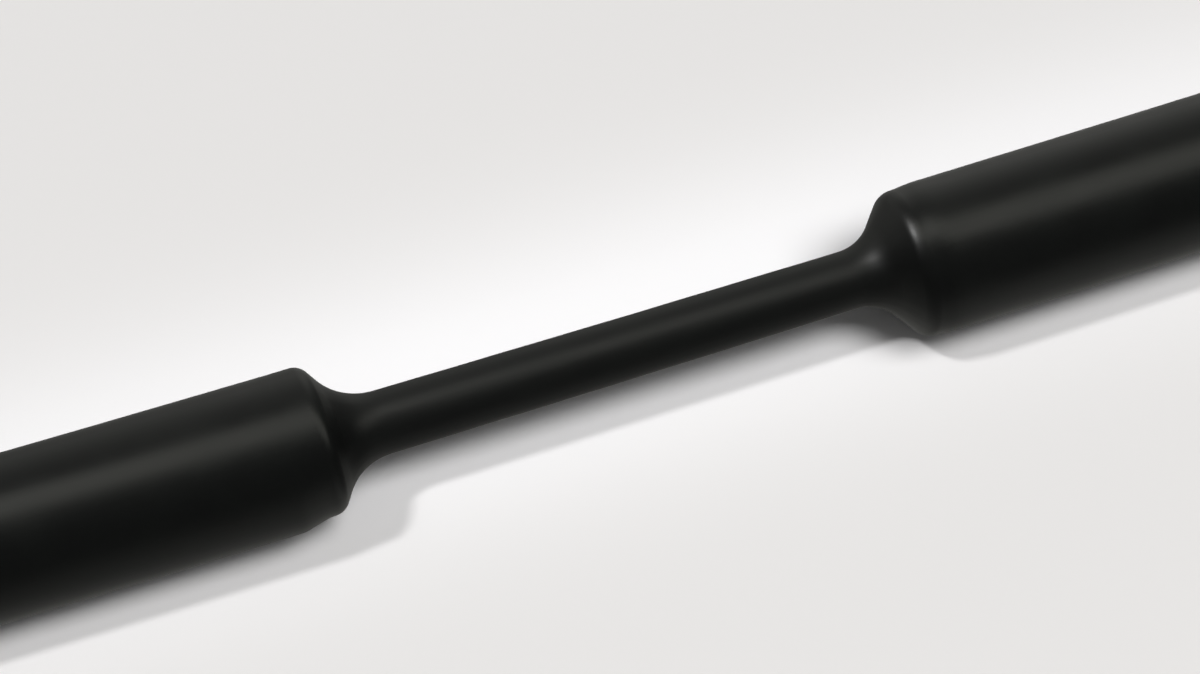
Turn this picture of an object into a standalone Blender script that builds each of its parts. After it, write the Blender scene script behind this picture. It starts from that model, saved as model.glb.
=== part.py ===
"""Heat shrink tube, 24 mm size with a 3:1 ratio, with its middle shrunk and both ends as supplied.

One piece of extruded and expanded black polyolefin. The tube lies along X with its underside on z = 0.
Its two wide lengths still have the supplied bore. Between them a neck has shrunk to the recovered bore,
and each wide length runs into it through a shoulder: a round edge, a straight slope and a root fillet.
The outer profile is lofted as rings, and the bore follows it one wall thickness inside.
"""
from math import cos, pi, radians, sin, sqrt

import bmesh
import bpy
from mathutils import Vector

MM = 0.001

# The stock: the supplied size, and the size that it recovers to
TUBE_LENGTH = 300.0 * MM
SUPPLIED_BORE = 24.0 * MM
SUPPLIED_WALL = 0.38 * MM
RECOVERED_BORE = 7.8 * MM
RECOVERED_WALL = 1.0 * MM

# The shrunk span in the middle of the tube, measured between the outer ends of the two shoulder rounds
SHRUNK_SPAN = 100.0 * MM

# The shoulder at -X, the steeper one
LEFT_SHOULDER_ROUND = 2.5 * MM
LEFT_SLOPE = radians(58.0)
LEFT_ROOT_ROUND = 9.5 * MM

# The shoulder at +X
RIGHT_SHOULDER_ROUND = 3.0 * MM
RIGHT_SLOPE = radians(52.0)
RIGHT_ROOT_ROUND = 8.5 * MM

# Where the tube has begun to shrink just outside a shoulder: at -X on one side only, whose direction is
# seen along +X and measured from +Y towards +Z, and at +X all around
LEFT_DRAW_IN_DEPTH = 1.1 * MM
LEFT_DRAW_IN_LENGTH = 5.5 * MM
LEFT_DRAW_IN_ANGLE = radians(210.0)
RIGHT_DRAW_IN_DEPTH = 0.3 * MM
RIGHT_DRAW_IN_LENGTH = 3.5 * MM

# The set that the tube keeps: a bow in plan, a neck that sits off the line of the wide lengths, and the
# radius that the neck's line loses over the shrunk span
BOW = 1.4 * MM
NECK_OFFSET = 0.5 * MM
NECK_TAPER = 0.4 * MM

# The most that a shoulder's two rounds may take of the drop in radius
ROUNDS_LIMIT = 0.95

# The satin black of cross-linked polyolefin
POLYOLEFIN_COLOUR = (0.011, 0.011, 0.011, 1.0)
POLYOLEFIN_ROUGHNESS = 0.42

# How finely the round shape is divided, and the bend above which an edge is sharp
SHARP_ANGLE = radians(40.0)
SIDE_COUNT = 32
WIDE_RING_COUNT = 5
DRAW_IN_RING_COUNT = 4
ROUND_RING_COUNT = 5
NECK_RING_COUNT = 7

SUPPLIED_RADIUS = SUPPLIED_BORE / 2 + SUPPLIED_WALL
RECOVERED_RADIUS = RECOVERED_BORE / 2 + RECOVERED_WALL
DROP = SUPPLIED_RADIUS - RECOVERED_RADIUS
LEFT_START = -SHRUNK_SPAN / 2
RIGHT_START = SHRUNK_SPAN / 2
ANGLES = [2 * pi * (side + 0.5) / SIDE_COUNT for side in range(SIDE_COUNT)]


def clear_scene():
    """Remove every object of the scene."""
    for thing in list(bpy.data.objects):
        bpy.data.objects.remove(thing, do_unlink=True)


def spread(start, end, count):
    """Give count values from start to end, both included."""
    return [start + (end - start) * i / (count - 1) for i in range(count)]


def smooth_step(value):
    """Rise from 0 to 1 with level ends as value goes from 0 to 1."""
    value = min(max(value, 0.0), 1.0)
    return value * value * (3 - 2 * value)


def shoulder(shoulder_round, slope, root_round):
    """Give a shoulder's outer profile as (distance inwards, radius, slope) from the wide end to the neck.

    The straight slope between the two rounds takes up what they leave of the drop in radius, and the
    rounds are made smaller where they would need more than the whole drop.
    """
    rounds_drop = (shoulder_round + root_round) * (1 - cos(slope))
    fit = min(1.0, ROUNDS_LIMIT * DROP / rounds_drop)
    shoulder_round *= fit
    root_round *= fit
    straight_drop = DROP - (shoulder_round + root_round) * (1 - cos(slope))
    length = (shoulder_round + root_round) * sin(slope) + straight_drop * cos(slope) / sin(slope)
    points = []
    for angle in spread(0.0, slope, ROUND_RING_COUNT):
        radius = SUPPLIED_RADIUS - shoulder_round * (1 - cos(angle))
        points.append((shoulder_round * sin(angle), radius, angle))
    for angle in spread(slope, 0.0, ROUND_RING_COUNT):
        radius = RECOVERED_RADIUS + root_round * (1 - cos(angle))
        points.append((length - root_round * sin(angle), radius, angle))
    return points


def outer_profile():
    """Give the whole outer profile as (x, radius, slope), from the -X end to the +X end."""
    left = shoulder(LEFT_SHOULDER_ROUND, LEFT_SLOPE, LEFT_ROOT_ROUND)
    right = shoulder(RIGHT_SHOULDER_ROUND, RIGHT_SLOPE, RIGHT_ROOT_ROUND)
    left_draw_in = LEFT_START - LEFT_DRAW_IN_LENGTH
    right_draw_in = RIGHT_START + RIGHT_DRAW_IN_LENGTH
    left_wide = spread(-TUBE_LENGTH / 2, left_draw_in, WIDE_RING_COUNT)
    left_wide += spread(left_draw_in, LEFT_START, DRAW_IN_RING_COUNT)[1:-1]
    right_wide = spread(RIGHT_START, right_draw_in, DRAW_IN_RING_COUNT)[1:-1]
    right_wide += spread(right_draw_in, TUBE_LENGTH / 2, WIDE_RING_COUNT)
    neck = spread(LEFT_START + left[-1][0], RIGHT_START - right[-1][0], NECK_RING_COUNT)[1:-1]
    profile = [(x, SUPPLIED_RADIUS, 0.0) for x in left_wide]
    profile += [(LEFT_START + inwards, radius, slope) for inwards, radius, slope in left]
    profile += [(x, RECOVERED_RADIUS, 0.0) for x in neck]
    profile += [(RIGHT_START - inwards, radius, -slope) for inwards, radius, slope in reversed(right)]
    profile += [(x, SUPPLIED_RADIUS, 0.0) for x in right_wide]
    return profile


def shrunk_share(radius):
    """Give how far the tube has shrunk where the outer radius is this, from 0 to 1."""
    return (SUPPLIED_RADIUS - radius) / DROP


def wall(radius):
    """Give the wall where the outer radius is this.

    The wall thickens as the tube shrinks, because its section keeps its area, but for the little that
    the supplied and the recovered sections differ by.
    """
    supplied = SUPPLIED_RADIUS ** 2 - (SUPPLIED_BORE / 2) ** 2
    recovered = RECOVERED_RADIUS ** 2 - (RECOVERED_BORE / 2) ** 2
    section = supplied + (recovered - supplied) * shrunk_share(radius)
    return radius - sqrt(radius ** 2 - section)


def axis_y(x, radius):
    """Give the axis's place in Y: the bow, a parabola in plan, and the neck's offset."""
    return BOW * (2 * x / TUBE_LENGTH) ** 2 + NECK_OFFSET * shrunk_share(radius)


def inset(x, radius, angle):
    """Give how far the wall lies inside the profile at this place.

    That is what each shoulder is drawn in, which starts outside it and ends at the neck, and what the
    neck's taper takes from the radius, or adds to it on the -X side.
    """
    shrunk = shrunk_share(radius)
    if x < 0:
        around = max(cos(angle - LEFT_DRAW_IN_ANGLE), 0.0) ** 2
        along = smooth_step((x - LEFT_START + LEFT_DRAW_IN_LENGTH) / LEFT_DRAW_IN_LENGTH)
        drawn_in = LEFT_DRAW_IN_DEPTH * along * around
    else:
        along = smooth_step((RIGHT_START + RIGHT_DRAW_IN_LENGTH - x) / RIGHT_DRAW_IN_LENGTH)
        drawn_in = RIGHT_DRAW_IN_DEPTH * along
    return drawn_in * (1 - shrunk) + NECK_TAPER * shrunk * x / SHRUNK_SPAN


def ring(mesh, x, radius, centre_y, insets):
    """Add a ring of vertices whose flats touch the circle of this radius, with one flat underneath."""
    corner = 1 / cos(pi / SIDE_COUNT)
    vertices = []
    for angle, inwards in zip(ANGLES, insets):
        reach = (radius - inwards) * corner
        place = (x, centre_y + reach * cos(angle), SUPPLIED_RADIUS + reach * sin(angle))
        vertices.append(mesh.verts.new(place))
    return vertices


def band(mesh, first, second):
    """Join two rings with quads that face away from the axis when second lies further along +X."""
    for i in range(SIDE_COUNT):
        j = (i + 1) % SIDE_COUNT
        mesh.faces.new((first[i], first[j], second[j], second[i]))


def loft_tube():
    """Loft the outer wall, the bore and the two cut ends as one closed solid."""
    mesh = bmesh.new()
    outer = []
    bore = []
    for x, radius, slope in outer_profile():
        thickness = wall(radius)
        centre_y = axis_y(x, radius)
        insets = [inset(x, radius, angle) for angle in ANGLES]
        outer.append(ring(mesh, x, radius, centre_y, insets))
        bore_x = x - thickness * sin(slope)
        bore_radius = radius - thickness * cos(slope)
        bore.append(ring(mesh, bore_x, bore_radius, centre_y, insets))
    for near, far in zip(outer, outer[1:]):
        band(mesh, near, far)
    for near, far in zip(bore, bore[1:]):
        band(mesh, far, near)
    band(mesh, bore[0], outer[0])
    band(mesh, outer[-1], bore[-1])
    bmesh.ops.recalc_face_normals(mesh, faces=mesh.faces)
    return mesh


def centre_in_plan(mesh):
    """Move the bowed tube so that its box is centred on the origin in Y."""
    ys = [vertex.co.y for vertex in mesh.verts]
    middle = (min(ys) + max(ys)) / 2
    bmesh.ops.translate(mesh, verts=mesh.verts, vec=Vector((0.0, -middle, 0.0)))


def black_polyolefin():
    """Make the tube's material."""
    material = bpy.data.materials.new("black_polyolefin")
    material.use_nodes = True
    shader = material.node_tree.nodes["Principled BSDF"]
    shader.inputs["Base Color"].default_value = POLYOLEFIN_COLOUR
    shader.inputs["Roughness"].default_value = POLYOLEFIN_ROUGHNESS
    shader.inputs["Metallic"].default_value = 0.0
    material.diffuse_color = POLYOLEFIN_COLOUR
    return material


def build():
    """Build the tube as one object."""
    clear_scene()
    mesh = loft_tube()
    centre_in_plan(mesh)
    data = bpy.data.meshes.new("heat_shrink_tube")
    mesh.to_mesh(data)
    mesh.free()
    data.materials.append(black_polyolefin())
    data.shade_smooth()
    data.set_sharp_from_angle(angle=SHARP_ANGLE)
    tube = bpy.data.objects.new("heat_shrink_tube", data)
    bpy.context.scene.collection.objects.link(tube)


build()
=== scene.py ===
"""The looks of a 24 mm heat shrink tube whose middle has been shrunk to a narrow neck.

The tube is one surface: its profile, a closed loop down the outer wall, over a cut end, back along the
bore and over the other cut end, carried around a line that bows gently in plan. Sizes are in metres.
"""
from math import cos, pi, radians, sin

import bpy
import numpy as np
from mathutils import Matrix, Vector


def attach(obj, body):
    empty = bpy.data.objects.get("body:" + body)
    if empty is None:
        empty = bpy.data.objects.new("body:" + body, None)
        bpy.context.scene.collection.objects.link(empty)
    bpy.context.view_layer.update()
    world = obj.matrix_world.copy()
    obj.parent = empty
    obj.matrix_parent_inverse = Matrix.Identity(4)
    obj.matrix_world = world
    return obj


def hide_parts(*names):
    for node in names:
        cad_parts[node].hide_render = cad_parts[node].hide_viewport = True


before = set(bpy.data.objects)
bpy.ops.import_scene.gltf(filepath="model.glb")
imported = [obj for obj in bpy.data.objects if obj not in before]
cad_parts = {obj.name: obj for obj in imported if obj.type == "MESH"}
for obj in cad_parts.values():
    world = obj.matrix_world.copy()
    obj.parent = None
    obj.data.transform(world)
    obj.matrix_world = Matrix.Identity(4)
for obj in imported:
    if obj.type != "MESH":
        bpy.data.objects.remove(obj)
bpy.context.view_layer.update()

MM = 0.001
MICRON = 0.000001

# The stock: the supplied size, and the size that it recovers to
TUBE_LENGTH = 300.0 * MM
SUPPLIED_BORE = 24.0 * MM
SUPPLIED_WALL = 0.38 * MM
RECOVERED_BORE = 7.8 * MM
RECOVERED_WALL = 1.0 * MM
SHRUNK_SPAN = 100.0 * MM

# The two shoulders
LEFT_SHOULDER_ROUND = 2.5 * MM
LEFT_SLOPE = radians(58.0)
LEFT_ROOT_ROUND = 9.5 * MM
RIGHT_SHOULDER_ROUND = 3.0 * MM
RIGHT_SLOPE = radians(52.0)
RIGHT_ROOT_ROUND = 8.5 * MM

# Where the tube has begun to shrink just outside a shoulder. This angle and those below are seen along +X
# and measured from +Y towards +Z
LEFT_DRAW_IN_DEPTH = 1.1 * MM
LEFT_DRAW_IN_LENGTH = 5.5 * MM
LEFT_DRAW_IN_ANGLE = radians(210.0)
RIGHT_DRAW_IN_DEPTH = 0.3 * MM
RIGHT_DRAW_IN_LENGTH = 3.5 * MM

# How far each shoulder's edge leans along +X on the side at this angle, and how far the lean reaches from
# the shoulder's round
LEFT_LEAN = 0.5 * MM
RIGHT_LEAN = -0.42 * MM
LEAN_ANGLE = radians(122.0)
LEAN_REACH = 4.0 * MM

# How far each slope is pulled towards the neck on one side, the left one on the side of its draw-in and
# the right one on the opposite side, and where along the tube
LEFT_PULL = 0.35 * MM
RIGHT_PULL = -0.45 * MM
PULL_INWARDS = 3.0 * MM
PULL_REACH = 5.0 * MM

# How deep the right shoulder's edge is softened on the side that the edges lean on, and where
SOFT_DEPTH = 0.45 * MM
SOFT_INWARDS = 1.3 * MM
SOFT_REACH = 2.2 * MM

# The set that the tube keeps: a bow in plan, a neck off the line of the wide lengths, and its taper
BOW = 1.4 * MM
NECK_OFFSET = 0.5 * MM
NECK_TAPER = 0.4 * MM

# The round that a sharp blade leaves on the edges of a cut end
CUT_EDGE_ROUND = 0.05 * MM

# The depth of each kind of unevenness in the wall, and the least of them all together
WAVE_DEPTH = 9 * MICRON
RING_DEPTH = 30 * MICRON
FLOW_DEPTH = 11 * MICRON
SWELL_DEPTH = 16 * MICRON
LEAST_DEPTH = 2 * MICRON

# The rings beside each shoulder, as the distance outside it, the width and the strength
LEFT_RINGS = ((3.4 * MM, 0.9 * MM, 1.0), (6.3 * MM, 1.3 * MM, 0.7))
RIGHT_RINGS = ((3.0 * MM, 0.8 * MM, 1.0), (5.6 * MM, 1.2 * MM, 0.6))

# How finely the surface is divided
AROUND_COUNT = 160
WIDE_COUNT = 88
DRAW_IN_COUNT = 26
SHOULDER_ROUND_COUNT = 24
SLOPE_COUNT = 10
ROOT_ROUND_COUNT = 36
NECK_COUNT = 118
CUT_EDGE_COUNT = 4
BORE_STEP = 5

SUPPLIED_RADIUS = SUPPLIED_BORE / 2 + SUPPLIED_WALL
RECOVERED_RADIUS = RECOVERED_BORE / 2 + RECOVERED_WALL
DROP = SUPPLIED_RADIUS - RECOVERED_RADIUS
LEFT_START = -SHRUNK_SPAN / 2
RIGHT_START = SHRUNK_SPAN / 2

# The tube's patterns, in a metre: die lines 0.5 mm apart and about 70 mm long, the melt's grain, which is
# about 0.05 mm and is drawn at 0.25 mm so that it shows, and handled places 9 mm across
DIE_LINES_PER_METRE = 2000.0
DIE_LENGTHS_PER_METRE = 14.0
GRAINS_PER_METRE = 4000.0
HANDLED_PER_METRE = 110.0
DIE_LINE_HEIGHT = 3.0 * MICRON
GRAIN_HEIGHT = 4.0 * MICRON

# The tube's roughness: at its glossiest and where it was handled, and what the die lines, the shrinking
# and the bore add to it
GLOSSY = 0.29
HANDLED = 0.35
DULL_FROM_DIE_LINES = 0.06
DULL_FROM_SHRINKING = 0.13
DULL_IN_BORE = 0.30
POLYOLEFIN_IOR = 1.51

# The board's patterns, in a metre: clouding 60 mm across, and the press plate's texture of 0.4 mm
CLOUDS_PER_METRE = 16.0
PRESS_GRAINS_PER_METRE = 2500.0
PRESS_GRAIN_HEIGHT = 4.0 * MICRON
CLOUDING = 0.04

# The pool of light painted on the board: its middle in Y, how far it reaches to each side, and how far
# along the tube
PAINTED_POOL_MIDDLE = 10.0 * MM
PAINTED_POOL_REACH = 25.0 * MM
PAINTED_POOL_LENGTH = 200.0 * MM
BOARD_HALF = 4.0

# The camera, as a direction and a distance from the point that it is aimed at. The lens and the sensor
# are in millimetres
CAMERA_AIM = (-1.88 * MM, 3.07 * MM, 12.38 * MM)
CAMERA_AZIMUTH = radians(-20.06)
CAMERA_ELEVATION = radians(56.31)
CAMERA_DISTANCE = 429.1 * MM
CAMERA_LENS = 82.2
SENSOR_WIDTH = 36.0
CLIP_START = 0.01
CLIP_END = 20.0


def smooth_step(value):
    """Rise from 0 to 1 with level ends as value goes from 0 to 1."""
    value = np.clip(value, 0.0, 1.0)
    return value * value * (3 - 2 * value)


def near(x, place, reach):
    """Give a soft bump along the tube, a bell curve that is 1 at the place and small two reaches away."""
    return np.exp(-((x - place) / reach) ** 2)


def facing(angle, direction):
    """Give how much a side of the tube faces a direction: the cosine squared, and 0 on the far side."""
    return np.maximum(np.cos(angle - direction), 0.0) ** 2


def shoulder(shoulder_round, slope, root_round):
    """Give a shoulder's profile as distance inwards, radius and slope, from the wide end to the neck.

    A round turns the wall in from level to the slope, a straight line falls at that slope, and a larger
    round turns it back to level at the neck's radius.
    """
    straight_drop = DROP - (shoulder_round + root_round) * (1 - cos(slope))
    length = (shoulder_round + root_round) * sin(slope) + straight_drop * cos(slope) / sin(slope)
    turn_in = np.linspace(0.0, slope, SHOULDER_ROUND_COUNT)
    turn_out = np.linspace(slope, 0.0, ROOT_ROUND_COUNT)
    inwards_in = shoulder_round * np.sin(turn_in)
    radius_in = SUPPLIED_RADIUS - shoulder_round * (1 - np.cos(turn_in))
    inwards_out = length - root_round * np.sin(turn_out)
    radius_out = RECOVERED_RADIUS + root_round * (1 - np.cos(turn_out))
    inwards_between = np.linspace(inwards_in[-1], inwards_out[0], SLOPE_COUNT)[1:-1]
    radius_between = np.linspace(radius_in[-1], radius_out[0], SLOPE_COUNT)[1:-1]
    inwards = np.concatenate([inwards_in, inwards_between, inwards_out])
    radius = np.concatenate([radius_in, radius_between, radius_out])
    slopes = np.concatenate([turn_in, np.full(SLOPE_COUNT - 2, slope), turn_out])
    return inwards, radius, slopes


def outer_profile():
    """Give x, radius and slope along the outer wall, from the -X end to the +X end."""
    left_in, left_radius, left_slope = shoulder(LEFT_SHOULDER_ROUND, LEFT_SLOPE, LEFT_ROOT_ROUND)
    right_in, right_radius, right_slope = shoulder(RIGHT_SHOULDER_ROUND, RIGHT_SLOPE, RIGHT_ROOT_ROUND)
    left_draw_in = LEFT_START - LEFT_DRAW_IN_LENGTH
    right_draw_in = RIGHT_START + RIGHT_DRAW_IN_LENGTH
    left_end = CUT_EDGE_ROUND - TUBE_LENGTH / 2
    left_x = np.linspace(left_end, left_draw_in, WIDE_COUNT, endpoint=False)
    left_draw_x = np.linspace(left_draw_in, LEFT_START, DRAW_IN_COUNT, endpoint=False)
    neck_x = np.linspace(LEFT_START + left_in[-1], RIGHT_START - right_in[-1], NECK_COUNT)[1:-1]
    right_draw_x = np.linspace(right_draw_in, RIGHT_START, DRAW_IN_COUNT, endpoint=False)[::-1]
    right_x = np.linspace(-left_end, right_draw_in, WIDE_COUNT, endpoint=False)[::-1]
    wide_count = WIDE_COUNT + DRAW_IN_COUNT
    wide = np.full(wide_count, SUPPLIED_RADIUS)
    level = np.zeros(wide_count)
    neck = np.full(NECK_COUNT - 2, RECOVERED_RADIUS)
    neck_level = np.zeros(NECK_COUNT - 2)
    x = np.concatenate([
        left_x, left_draw_x, LEFT_START + left_in,
        neck_x,
        RIGHT_START - right_in[::-1], right_draw_x, right_x,
    ])
    radius = np.concatenate([wide, left_radius, neck, right_radius[::-1], wide])
    slope = np.concatenate([level, left_slope, neck_level, -right_slope[::-1], level])
    return x, radius, slope


def shrunk_share(radius):
    """Give how far the tube has shrunk where the outer radius is this, from 0 to 1."""
    return (SUPPLIED_RADIUS - radius) / DROP


def wall(radius):
    """Give the wall where the outer radius is this.

    The wall thickens as the tube shrinks, because its section keeps its area, but for the little that
    the supplied and the recovered sections differ by.
    """
    supplied = SUPPLIED_RADIUS ** 2 - (SUPPLIED_BORE / 2) ** 2
    recovered = RECOVERED_RADIUS ** 2 - (RECOVERED_BORE / 2) ** 2
    section = supplied + (recovered - supplied) * shrunk_share(radius)
    return radius - np.sqrt(radius ** 2 - section)


def axis_y(x, radius):
    """Give the axis's place in Y: the bow, a parabola in plan, and the neck's offset."""
    return BOW * (2 * x / TUBE_LENGTH) ** 2 + NECK_OFFSET * shrunk_share(radius)


def inset(x, radius, angle):
    """Give how far the wall lies inside the profile at this place.

    That is what each shoulder is drawn in, on one side at -X and all around at +X, how far the edge at
    +X is softened, and what the neck's taper takes from the radius, or adds to it on the -X side.
    """
    shrunk = shrunk_share(radius)
    left_along = smooth_step((x - LEFT_START + LEFT_DRAW_IN_LENGTH) / LEFT_DRAW_IN_LENGTH)
    right_along = smooth_step((RIGHT_START + RIGHT_DRAW_IN_LENGTH - x) / RIGHT_DRAW_IN_LENGTH)
    softened = SOFT_DEPTH * near(x, RIGHT_START - SOFT_INWARDS, SOFT_REACH) * facing(angle, LEAN_ANGLE)
    left = LEFT_DRAW_IN_DEPTH * left_along * facing(angle, LEFT_DRAW_IN_ANGLE)
    right = RIGHT_DRAW_IN_DEPTH * right_along + softened
    return np.where(x < 0, left, right) * (1 - shrunk) + NECK_TAPER * shrunk * x / SHRUNK_SPAN


def lean(x, angle):
    """Give how far a place lies further along +X because its shoulder shrank unevenly.

    The shoulder's edge leans as a plane does, by the cosine of the angle, and its slope is pulled on one
    side, by a cosine squared.
    """
    left = LEFT_LEAN * near(x, LEFT_START + LEFT_SHOULDER_ROUND / 2, LEAN_REACH)
    right = RIGHT_LEAN * near(x, RIGHT_START - RIGHT_SHOULDER_ROUND / 2, LEAN_REACH)
    left_side = facing(angle, LEFT_DRAW_IN_ANGLE)
    right_side = facing(angle, LEFT_DRAW_IN_ANGLE - pi)
    left_pull = LEFT_PULL * near(x, LEFT_START + PULL_INWARDS, PULL_REACH) * left_side
    right_pull = RIGHT_PULL * near(x, RIGHT_START - PULL_INWARDS, PULL_REACH) * right_side
    return (left + right) * np.cos(angle - LEAN_ANGLE) + left_pull + right_pull


def relief(x, radius, angle):
    """Give the fine unevenness of the wall as a depth inwards, never less than nothing.

    The wide lengths have long shallow waves from expansion, as products of sines along and around. Each
    shoulder has faint rings beside its edge, left as the shrinking stopped there. The neck has lengthwise
    flow lines where the wall gathered, strongest at its roots, and slight swells along it. A number that
    divides along is the millimetres for one radian, and one that is added to an angle is a phase.
    """
    shrunk = shrunk_share(radius)
    along = x / MM
    waves = 1 + np.sin(along / 5.1 + 1.7 * np.sin(2 * angle + 0.6)) * np.sin(along / 8.3 + angle + 2.0)
    waves += 0.6 * (1 + np.sin(3 * angle + along / 17.0) * np.sin(along / 11.7 - 2 * angle))
    left_rings = sum(strength * near(x, LEFT_START - out, width) for out, width, strength in LEFT_RINGS)
    right_rings = sum(strength * near(x, RIGHT_START + out, width) for out, width, strength in RIGHT_RINGS)
    left_around = 0.6 + 0.4 * np.sin(2 * angle + 0.9)
    right_around = 0.75 + 0.25 * np.sin(angle - 1.1)
    rings = left_rings * left_around + right_rings * right_around
    at_roots = shrunk * (1 - shrunk) * 4
    flow = 1 + np.sin(13 * angle + 1.2 * np.sin(4 * angle)) * np.sin(5 * angle + along / 9.0)
    swells = 1 + np.sin(along / 3.3 + 0.8 * np.sin(angle)) * np.sin(along / 7.9 + 1.0)
    depth = WAVE_DEPTH * waves * (1 - shrunk)
    depth += RING_DEPTH * rings * (1 - shrunk)
    depth += FLOW_DEPTH * flow * (0.35 * shrunk + at_roots)
    depth += SWELL_DEPTH * swells * shrunk
    return depth + LEAST_DEPTH


def cut_end(x_end, side):
    """Give x and radius over a cut end, from the outer wall to the bore, with both edges rounded.

    Each edge is a quarter circle, and side is 1 at the +X end and -1 at the -X end.
    """
    turn = np.linspace(0.0, pi / 2, CUT_EDGE_COUNT + 2)[1:-1]
    bore_radius = SUPPLIED_BORE / 2
    x_out = x_end - side * CUT_EDGE_ROUND * (1 - np.sin(turn))
    radius_out = SUPPLIED_RADIUS - CUT_EDGE_ROUND * (1 - np.cos(turn))
    x_in = x_end - side * CUT_EDGE_ROUND * (1 - np.cos(turn))
    radius_in = bore_radius + CUT_EDGE_ROUND * (1 - np.sin(turn))
    face = [SUPPLIED_RADIUS - CUT_EDGE_ROUND, bore_radius + CUT_EDGE_ROUND]
    x = np.concatenate([x_out, [x_end, x_end], x_in])
    return x, np.concatenate([radius_out, face, radius_in])


def closed_profile():
    """Give the profile as one closed loop: six values for each of its places.

    They are the x and the reach from the axis of the place itself, the outer radius and the x of the
    outer wall beside it, the length along the outer wall up to there, and 1 in the bore and 0 elsewhere.
    The bore's profile is the outer one, moved in by the wall at right angles to its slope.
    """
    x, radius, slope = outer_profile()
    steps = np.hypot(np.diff(x), np.diff(radius))
    length = np.concatenate([[0.0], np.cumsum(steps)]) - TUBE_LENGTH / 2
    back = slice(None, None, -BORE_STEP)
    bore_x = (x - wall(radius) * np.sin(slope))[back]
    bore_reach = (radius - wall(radius) * np.cos(slope))[back]
    right_x, right_reach = cut_end(TUBE_LENGTH / 2, 1)
    left_x, left_reach = cut_end(-TUBE_LENGTH / 2, -1)
    left_x = left_x[::-1]
    left_reach = left_reach[::-1]
    end_radius = np.full(len(right_x), SUPPLIED_RADIUS)
    right_length = np.full(len(right_x), length[-1])
    left_length = np.full(len(left_x), length[0])
    return (
        np.concatenate([x, right_x, bore_x, left_x]),
        np.concatenate([radius, right_reach, bore_reach, left_reach]),
        np.concatenate([radius, end_radius, radius[back], end_radius]),
        np.concatenate([x, right_x, x[back], left_x]),
        np.concatenate([length, right_length, length[back], left_length]),
        np.concatenate([0 * x, 0 * right_x, 1 + 0 * bore_x, 0 * left_x]),
    )


def tube_surface():
    """Give the tube's places, its places before shrinking, its shrunk share and its bore, on one grid.

    The grid is the closed profile by the angle around the axis. A place is (x, y, z) = (x of the profile
    + lean, axis_y + reach cos angle, centre height + reach sin angle), where reach is the profile's less
    its inset and relief. The place before shrinking has the length along the profile as its x and lies
    on the supplied radius, so that a pattern on it narrows with the tube.
    """
    angle = np.arange(AROUND_COUNT) * 2 * pi / AROUND_COUNT
    grids = [np.meshgrid(values, angle, indexing="ij")[0] for values in closed_profile()]
    x, profile_reach, outer_radius, wall_x, length, bore = grids
    turn = np.broadcast_to(angle, x.shape)
    plain_reach = profile_reach - inset(wall_x, outer_radius, turn)
    centre_y = axis_y(wall_x, outer_radius)
    across = centre_y + plain_reach * np.cos(turn)
    middle = (across.min() + across.max()) / 2
    reach = plain_reach - relief(wall_x, outer_radius, turn)
    y = centre_y - middle + reach * np.cos(turn)
    z = SUPPLIED_RADIUS + reach * np.sin(turn)
    places = np.stack([x + lean(wall_x, turn), y, z], axis=-1)
    before = np.stack([length, SUPPLIED_RADIUS * np.cos(turn), SUPPLIED_RADIUS * np.sin(turn)], axis=-1)
    return places, before, shrunk_share(outer_radius), bore


def closed_grid_faces(rows, columns):
    """Give the quads of a grid that closes on itself both ways, as a ring does."""
    row, column = np.meshgrid(np.arange(rows), np.arange(columns), indexing="ij")
    next_row = (row + 1) % rows
    next_column = (column + 1) % columns
    corners = [
        row * columns + column,
        row * columns + next_column,
        next_row * columns + next_column,
        next_row * columns + column,
    ]
    return np.stack(corners, axis=-1).reshape(-1, 4)


def mesh_from_grid(name, places, faces):
    """Make a smooth-shaded mesh object from a grid of places and its quads."""
    mesh = bpy.data.meshes.new(name)
    mesh.vertices.add(len(places))
    mesh.vertices.foreach_set("co", places.astype(np.float32).ravel())
    mesh.loops.add(faces.size)
    mesh.loops.foreach_set("vertex_index", faces.astype(np.int32).ravel())
    mesh.polygons.add(len(faces))
    mesh.polygons.foreach_set("loop_start", np.arange(0, faces.size, 4, dtype=np.int32))
    mesh.update(calc_edges=True)
    mesh.validate()
    mesh.shade_smooth()
    piece = bpy.data.objects.new(name, mesh)
    bpy.context.scene.collection.objects.link(piece)
    return piece


def make_tube():
    """Make the tube, with the three attributes that its finish reads.

    They are its places before shrinking, how far it has shrunk, and which part of it is the bore.
    """
    places, before, shrunk, bore = tube_surface()
    rows, columns = places.shape[:2]
    tube = mesh_from_grid("shrunk_tube", places.reshape(-1, 3), closed_grid_faces(rows, columns))
    attribute = tube.data.attributes.new("before_shrinking", "FLOAT_VECTOR", "POINT")
    attribute.data.foreach_set("vector", before.astype(np.float32).ravel())
    for name, values in (("shrunk_share", shrunk), ("bore", bore)):
        share = tube.data.attributes.new(name, "FLOAT", "POINT")
        share.data.foreach_set("value", values.astype(np.float32).ravel())
    return tube


def linear(hex_colour):
    """Turn an sRGB hex colour to linear red, green, blue and full opacity."""
    parts = [int(hex_colour[i:i + 2], 16) / 255 for i in (1, 3, 5)]
    return (*[p / 12.92 if p <= 0.04045 else ((p + 0.055) / 1.055) ** 2.4 for p in parts], 1.0)


def socket(sockets, name):
    """Give a node's socket by number, or the one in use that has this name."""
    if isinstance(name, int):
        return sockets[name]
    return next(candidate for candidate in sockets if candidate.name == name and candidate.enabled)


def add(tree, kind, settings=None, values=None, links=None):
    """Add a node, set its properties and its inputs' values, and link outputs to its inputs."""
    node = tree.nodes.new(kind)
    for name, value in (settings or {}).items():
        setattr(node, name, value)
    for name, value in (values or {}).items():
        socket(node.inputs, name).default_value = value
    for name, output in (links or {}).items():
        tree.links.new(output, socket(node.inputs, name))
    return node


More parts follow.
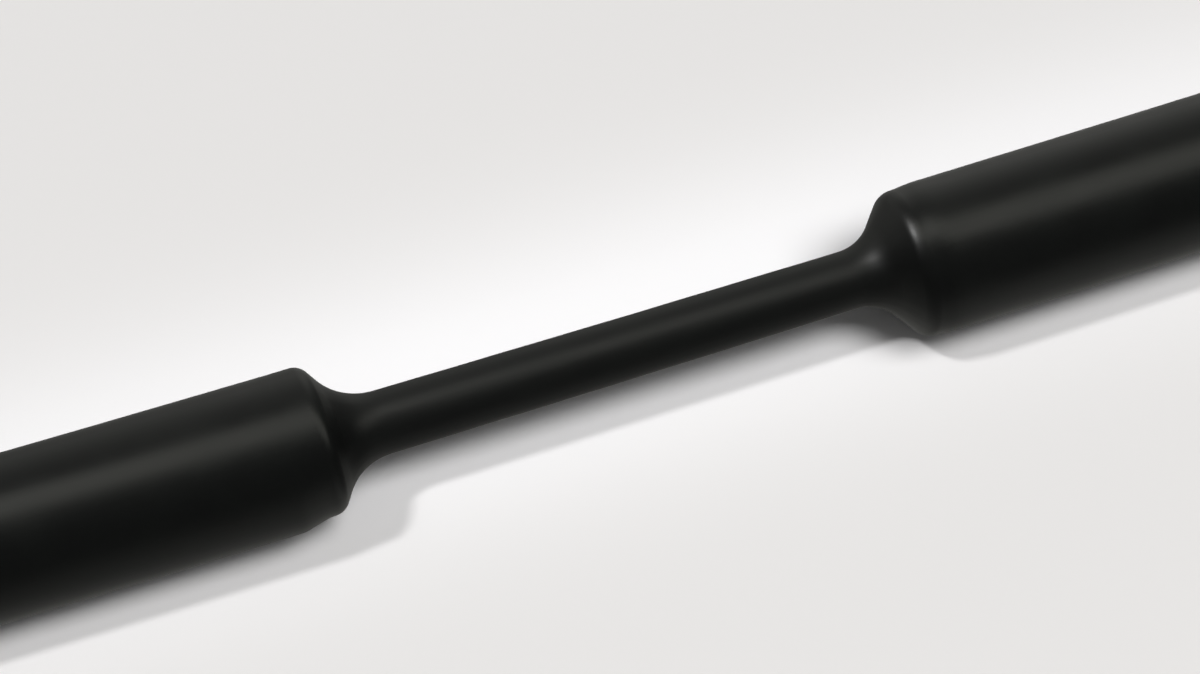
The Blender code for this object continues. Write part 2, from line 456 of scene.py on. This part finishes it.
def new_material(name):
    """Make an empty node material, and give it with its node tree."""
    material = bpy.data.materials.new(name)
    material.use_nodes = True
    material.node_tree.nodes.clear()
    return material, material.node_tree


def cross_linked_polyolefin():
    """Black cross-linked polyolefin, extruded through a die and then expanded.

    It is a satin black: the gloss is soft and even, with faint lengthwise lines from the die, a fine
    matt grain from the melt's surface, and slightly duller places where it was handled. It is duller
    where it has shrunk, because its surface gathered, and the bore is a hazy dark grey and nearly matt.
    """
    material, tree = new_material("cross_linked_polyolefin_extruded")
    before = add(tree, "ShaderNodeAttribute", {"attribute_name": "before_shrinking"}).outputs["Vector"]
    shrunk = add(tree, "ShaderNodeAttribute", {"attribute_name": "shrunk_share"}).outputs["Fac"]
    bore = add(tree, "ShaderNodeAttribute", {"attribute_name": "bore"}).outputs["Fac"]

    die_scale = (DIE_LENGTHS_PER_METRE, DIE_LINES_PER_METRE, DIE_LINES_PER_METRE)
    die_place = add(tree, "ShaderNodeMapping", values={"Scale": die_scale}, links={"Vector": before})
    die = add(tree, "ShaderNodeTexNoise", values={"Scale": 1.0, "Detail": 2.0, "Roughness": 0.55},
              links={"Vector": die_place.outputs["Vector"]})
    grain = add(tree, "ShaderNodeTexNoise", links={"Vector": before},
                values={"Scale": GRAINS_PER_METRE, "Detail": 2.0, "Roughness": 0.6})
    handled = add(tree, "ShaderNodeTexNoise", links={"Vector": before},
                  values={"Scale": HANDLED_PER_METRE, "Detail": 3.0, "Roughness": 0.55})

    blotch = add(tree, "ShaderNodeMapRange", values={"From Min": 0.3, "From Max": 0.75},
                 links={"Value": handled.outputs["Fac"]})
    black = add(tree, "ShaderNodeMix", {"data_type": "RGBA"},
                {"A": linear("#090a0a"), "B": linear("#0b0d0c")},
                {"Factor": blotch.outputs["Result"]})
    colour = add(tree, "ShaderNodeMix", {"data_type": "RGBA"}, {"B": linear("#232524")},
                 {"Factor": bore, "A": socket(black.outputs, "Result")})

    dullness = add(tree, "ShaderNodeMapRange", links={"Value": handled.outputs["Fac"]},
                   values={"From Min": 0.3, "From Max": 0.7, "To Min": GLOSSY, "To Max": HANDLED})
    lined = add(tree, "ShaderNodeMath", {"operation": "MULTIPLY_ADD"}, {1: DULL_FROM_DIE_LINES},
                {0: die.outputs["Fac"], 2: dullness.outputs["Result"]})
    outside = add(tree, "ShaderNodeMath", {"operation": "MULTIPLY_ADD"}, {1: DULL_FROM_SHRINKING},
                  {0: shrunk, 2: lined.outputs["Value"]})
    roughness = add(tree, "ShaderNodeMath", {"operation": "MULTIPLY_ADD"}, {1: DULL_IN_BORE},
                    {0: bore, 2: outside.outputs["Value"]})

    lines = add(tree, "ShaderNodeBump", values={"Strength": 1.0, "Distance": DIE_LINE_HEIGHT},
                links={"Height": die.outputs["Fac"]})
    matt = add(tree, "ShaderNodeBump", values={"Strength": 1.0, "Distance": GRAIN_HEIGHT},
               links={"Height": grain.outputs["Fac"], "Normal": lines.outputs["Normal"]})
    shader = add(tree, "ShaderNodeBsdfPrincipled", values={"IOR": POLYOLEFIN_IOR, "Metallic": 0.0}, links={
        "Base Color": socket(colour.outputs, "Result"),
        "Roughness": roughness.outputs["Value"],
        "Normal": matt.outputs["Normal"],
    })
    add(tree, "ShaderNodeOutputMaterial", links={"Surface": shader.outputs["BSDF"]})
    return material


def white_board_and_painted_pool():
    """White melamine-faced board, pressed smooth: pale and even, with a painted pool of light where the
    tube lies.

    The painted pool of light is a white bell across the tube, with a level top that ends beyond the cut
    ends, on the board's pale warm grey: exp(-((y - middle) / reach)^2 - (x / length)^4).
    """
    material, tree = new_material("white_melamine_board_pressed_painted_pool")
    place = add(tree, "ShaderNodeTexCoord").outputs["Object"]
    parts = add(tree, "ShaderNodeSeparateXYZ", links={"Vector": place}).outputs
    # The bell of the painted pool of light across the tube, which ends beyond the cut ends
    across = add(tree, "ShaderNodeMath", {"operation": "MULTIPLY_ADD"},
                 {1: 1 / PAINTED_POOL_REACH, 2: -PAINTED_POOL_MIDDLE / PAINTED_POOL_REACH},
                 {0: parts["Y"]}).outputs["Value"]
    along = add(tree, "ShaderNodeMath", {"operation": "MULTIPLY"}, {1: 1 / PAINTED_POOL_LENGTH},
                {0: parts["X"]}).outputs["Value"]
    squared = add(tree, "ShaderNodeMath", {"operation": "MULTIPLY"},
                  links={0: along, 1: along}).outputs["Value"]
    fourth = add(tree, "ShaderNodeMath", {"operation": "MULTIPLY"},
                 links={0: squared, 1: squared}).outputs["Value"]
    away = add(tree, "ShaderNodeMath", {"operation": "MULTIPLY_ADD"},
               links={0: across, 1: across, 2: fourth}).outputs["Value"]
    fall = add(tree, "ShaderNodeMath", {"operation": "MULTIPLY"}, {1: -1.0}, {0: away}).outputs["Value"]
    bell = add(tree, "ShaderNodeMath", {"operation": "EXPONENT"}, links={0: fall}).outputs["Value"]

    cloud = add(tree, "ShaderNodeTexNoise", values={"Scale": CLOUDS_PER_METRE, "Detail": 3.0},
                links={"Vector": place})
    clouding_and_painted_pool = add(tree, "ShaderNodeMath", {"operation": "MULTIPLY_ADD"}, {1: CLOUDING},
                  {0: cloud.outputs["Fac"], 2: bell})
    # The board's pale warm grey, whitened by the painted pool of light and faintly clouded
    colour = add(tree, "ShaderNodeMix", {"data_type": "RGBA"},
                 {"A": linear("#e3e2e0"), "B": linear("#ffffff")},
                 {"Factor": clouding_and_painted_pool.outputs["Value"]})
    texture = add(tree, "ShaderNodeTexNoise", values={"Scale": PRESS_GRAINS_PER_METRE, "Detail": 2.0},
                  links={"Vector": place})
    bump = add(tree, "ShaderNodeBump", values={"Strength": 1.0, "Distance": PRESS_GRAIN_HEIGHT},
               links={"Height": texture.outputs["Fac"]})
    shader = add(tree, "ShaderNodeBsdfPrincipled", values={"Roughness": 0.6, "IOR": 1.5}, links={
        "Base Color": socket(colour.outputs, "Result"),
        "Normal": bump.outputs["Normal"],
    })
    add(tree, "ShaderNodeOutputMaterial", links={"Surface": shader.outputs["BSDF"]})
    return material


def make_floor():
    """Make the floor, a flat square board whose top is at z = 0, which the tube's gloss doesn't show."""
    half = BOARD_HALF
    places = np.array([(-half, -half, 0), (half, -half, 0), (half, half, 0), (-half, half, 0)], float)
    floor = mesh_from_grid("floor", places, np.array([(0, 1, 2, 3)]))
    floor.data.materials.append(white_board_and_painted_pool())
    floor.visible_glossy = False
    return floor


def area_light(name, direction, distance, size, radiance, colour):
    """Add a rectangular lamp that faces the tube from a direction, its long side level in the picture.

    Its power is pi times radiance times area. The camera doesn't see it.
    """
    towards = Vector(direction).normalized()
    level = Vector((cos(CAMERA_AZIMUTH), sin(CAMERA_AZIMUTH), 0.0))
    along = (level - towards * level.dot(towards)).normalized()
    data = bpy.data.lights.new(name, "AREA")
    data.shape = "RECTANGLE"
    data.size, data.size_y = size
    data.energy = pi * radiance * size[0] * size[1]
    data.color = linear(colour)[:3]
    light = bpy.data.objects.new(name, data)
    bpy.context.scene.collection.objects.link(light)
    light.location = towards * distance
    light.rotation_mode = "QUATERNION"
    turned = Matrix((along, towards.cross(along), towards)).transposed()
    light.rotation_quaternion = turned.to_quaternion()
    light.visible_camera = False
    return light


def make_lights():
    """Add the four lamps: a key and a fill for the floor, and a softbox and an edge lamp for the gloss.

    The key lamp, from the left and a little behind, throws the tube's shadow, and the wide fill lamp from
    the right and in front lightens it. The softbox overhead draws the sheen along the tube, and the edge
    lamp the glints on the right shoulder's edge and root.
    """
    key = area_light("key_lamp", direction=(-0.48, 0.10, 1.0), distance=3.0, size=(0.275, 0.275),
                     radiance=142.0, colour="#fffeff")
    key.visible_glossy = False
    fill = area_light("fill_lamp", direction=(0.34, -0.31, 1.0), distance=3.0, size=(1.5, 1.15),
                      radiance=10.7, colour="#fffeff")
    fill.visible_glossy = False
    softbox = area_light("overhead_softbox", direction=(0.18, 0.06, 1.0), distance=1.1, size=(2.6, 0.58),
                         radiance=1.06, colour="#fffff4")
    softbox.visible_diffuse = False
    edge = area_light("edge_lamp", direction=(-0.51, 0.23, 0.83), distance=3.0, size=(0.46, 0.76),
                      radiance=22.0, colour="#ffffff")
    edge.visible_diffuse = False


def make_surroundings():
    """Make the room's light, one part for surfaces, one for gloss and one for the camera.

    Surfaces are lit evenly from above and in front. The gloss shows a pale low wall behind the tube and
    a little light from below, which reaches deepest at the left. Both are stronger towards the right and
    weak again at the far right. The camera sees an even pale grey beyond the floor.
    """
    world = bpy.data.worlds.new("room")
    bpy.context.scene.world = world
    world.use_nodes = True
    tree = world.node_tree
    tree.nodes.clear()
    direction = add(tree, "ShaderNodeTexCoord").outputs["Generated"]
    parts = add(tree, "ShaderNodeSeparateXYZ", links={"Vector": direction}).outputs
    # The direction's axis along which each share rises or falls, from where to where, and its two values
    rises = {
        "ceiling": ("Z", 0.1, 0.7, 0.01, 0.28),
        "in_front": ("Y", 0.25, -0.15, 0.10, 1.0),
        "behind": ("Y", 0.0, 0.7, 0.0, 0.30),
        "below_eye_level": ("Z", 1.05, 0.2, 0.0, 1.0),
        "above_floor": ("Z", -0.4, 0.0, 0.12, 1.0),
        "underneath": ("Z", 0.05, -0.6, 0.03, 0.17),
        "far_underneath": ("Z", -0.6, -0.95, 0.0, 0.18),
        "to_the_left": ("X", 0.15, -0.3, 0.0, 1.0),
        "to_the_right": ("X", -0.1, 0.4, 1.0, 1.6),
        "not_far_right": ("X", 0.45, 0.75, 1.0, 0.25),
    }
    share = {}
    for name, (axis, start, end, low, high) in rises.items():
        share[name] = add(tree, "ShaderNodeMapRange", {"interpolation_type": "SMOOTHSTEP"},
                          {"From Min": start, "From Max": end, "To Min": low, "To Max": high},
                          {"Value": parts[axis]}).outputs["Result"]

    from_above = add(tree, "ShaderNodeMath", {"operation": "MULTIPLY"},
                     links={0: share["ceiling"], 1: share["in_front"]}).outputs["Value"]
    wall_behind = add(tree, "ShaderNodeMath", {"operation": "MULTIPLY"},
                      links={0: share["behind"], 1: share["below_eye_level"]}).outputs["Value"]
    low_light = add(tree, "ShaderNodeMath", {"operation": "MULTIPLY_ADD"}, links={
        0: wall_behind, 1: share["above_floor"], 2: share["underneath"],
    }).outputs["Value"]
    with_left = add(tree, "ShaderNodeMath", {"operation": "MULTIPLY_ADD"}, links={
        0: share["far_underneath"], 1: share["to_the_left"], 2: low_light,
    }).outputs["Value"]
    with_right = add(tree, "ShaderNodeMath", {"operation": "MULTIPLY"},
                     links={0: with_left, 1: share["to_the_right"]}).outputs["Value"]
    in_gloss = add(tree, "ShaderNodeMath", {"operation": "MULTIPLY"},
                   links={0: with_right, 1: share["not_far_right"]}).outputs["Value"]

    path = add(tree, "ShaderNodeLightPath").outputs
    on_surfaces = add(tree, "ShaderNodeBackground", values={"Color": linear("#fffefe")},
                      links={"Strength": from_above}).outputs["Background"]
    gloss = add(tree, "ShaderNodeBackground", values={"Color": linear("#fffff8")},
                links={"Strength": in_gloss}).outputs["Background"]
    backdrop = add(tree, "ShaderNodeBackground",
                   values={"Color": linear("#dddcda"), "Strength": 1.0}).outputs["Background"]
    lit = add(tree, "ShaderNodeMixShader",
              links={0: path["Is Glossy Ray"], 1: on_surfaces, 2: gloss}).outputs["Shader"]
    room = add(tree, "ShaderNodeMixShader",
               links={0: path["Is Camera Ray"], 1: lit, 2: backdrop}).outputs["Shader"]
    add(tree, "ShaderNodeOutputWorld", links={"Surface": room})


def make_camera():
    """Place the camera in front of the tube, to its left and above, aimed at the middle of the neck."""
    data = bpy.data.cameras.new("camera")
    data.lens = CAMERA_LENS
    data.sensor_width = SENSOR_WIDTH
    data.clip_start = CLIP_START
    data.clip_end = CLIP_END
    camera = bpy.data.objects.new("camera", data)
    bpy.context.scene.collection.objects.link(camera)
    back = Vector((
        sin(CAMERA_AZIMUTH) * cos(CAMERA_ELEVATION),
        -cos(CAMERA_AZIMUTH) * cos(CAMERA_ELEVATION),
        sin(CAMERA_ELEVATION),
    ))
    camera.location = Vector(CAMERA_AIM) + back * CAMERA_DISTANCE
    camera.rotation_mode = "QUATERNION"
    camera.rotation_quaternion = (-back).to_track_quat("-Z", "Y")
    bpy.context.scene.camera = camera


tube = make_tube()
tube.data.materials.append(cross_linked_polyolefin())
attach(tube, "root")
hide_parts("heat_shrink_tube")

floor = make_floor()
make_lights()
make_surroundings()
make_camera()
bpy.context.scene.view_settings.view_transform = "Standard"
